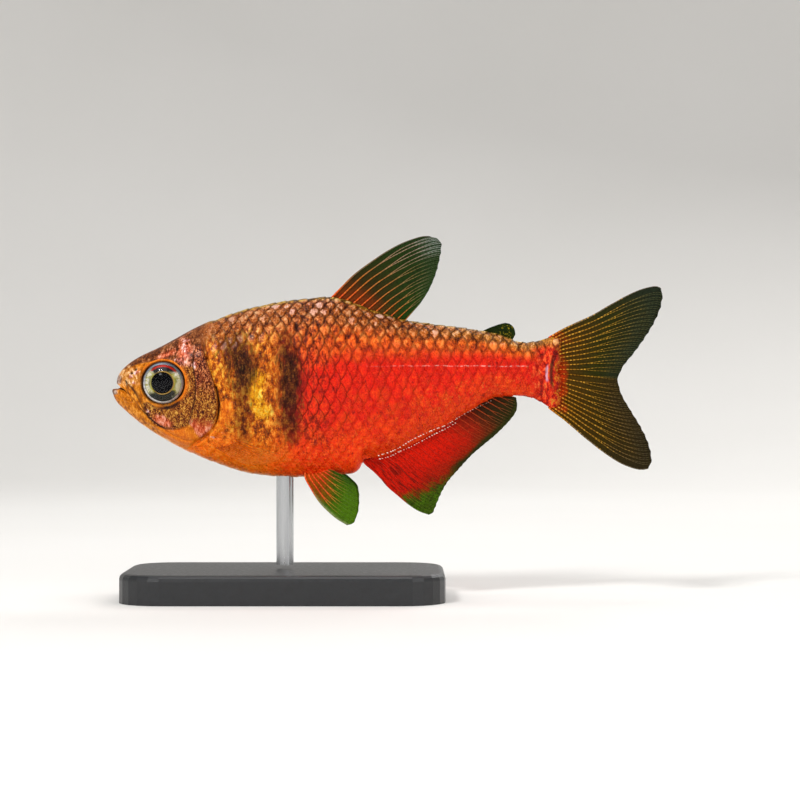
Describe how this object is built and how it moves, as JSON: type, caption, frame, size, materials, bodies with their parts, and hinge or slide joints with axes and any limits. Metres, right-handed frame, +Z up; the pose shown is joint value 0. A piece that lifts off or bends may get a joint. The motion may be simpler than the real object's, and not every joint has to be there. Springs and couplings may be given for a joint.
{
  "type": "flame tetra",
  "caption": "Life-size still model of a small, deep-bodied aquarium fish, level on a rod over a flat display base.",
  "frame": {"origin": "middle of the whole model's outline seen from above, on the surface that the base rests on", "axes": "+X from the snout to the tail, +Y towards the fish's right side, +Z up"},
  "size_m": [0.038, 0.013, 0.0249],
  "materials": {
    "flank_skin": "satin, scaled, scarlet to orange",
    "head_skin": "satin, brown and gold over orange",
    "fin_web": "thin web with raised rays",
    "eye": "clear gloss over a silver and gold iris",
    "stand_paint": "satin black",
    "stand_steel": "brushed"
  },
  "bodies": {
    "root": {"head": "head_skin", "lower_jaw": "head_skin", "gill_cover_left": "head_skin", "gill_cover_right": "head_skin", "eye_left": "eye", "eye_right": "eye", "trunk": "flank_skin", "tail_stalk": "flank_skin", "dorsal_fin": "fin_web", "adipose_fin": "fin_web", "anal_fin": "fin_web", "tail_fin_upper": "fin_web", "tail_fin_lower": "fin_web", "pelvic_fin_left": "fin_web", "pelvic_fin_right": "fin_web", "pectoral_fin_left": "fin_web", "pectoral_fin_right": "fin_web", "stand_base": "stand_paint", "stand_rod": "stand_steel"}
  },
  "joints": []
}
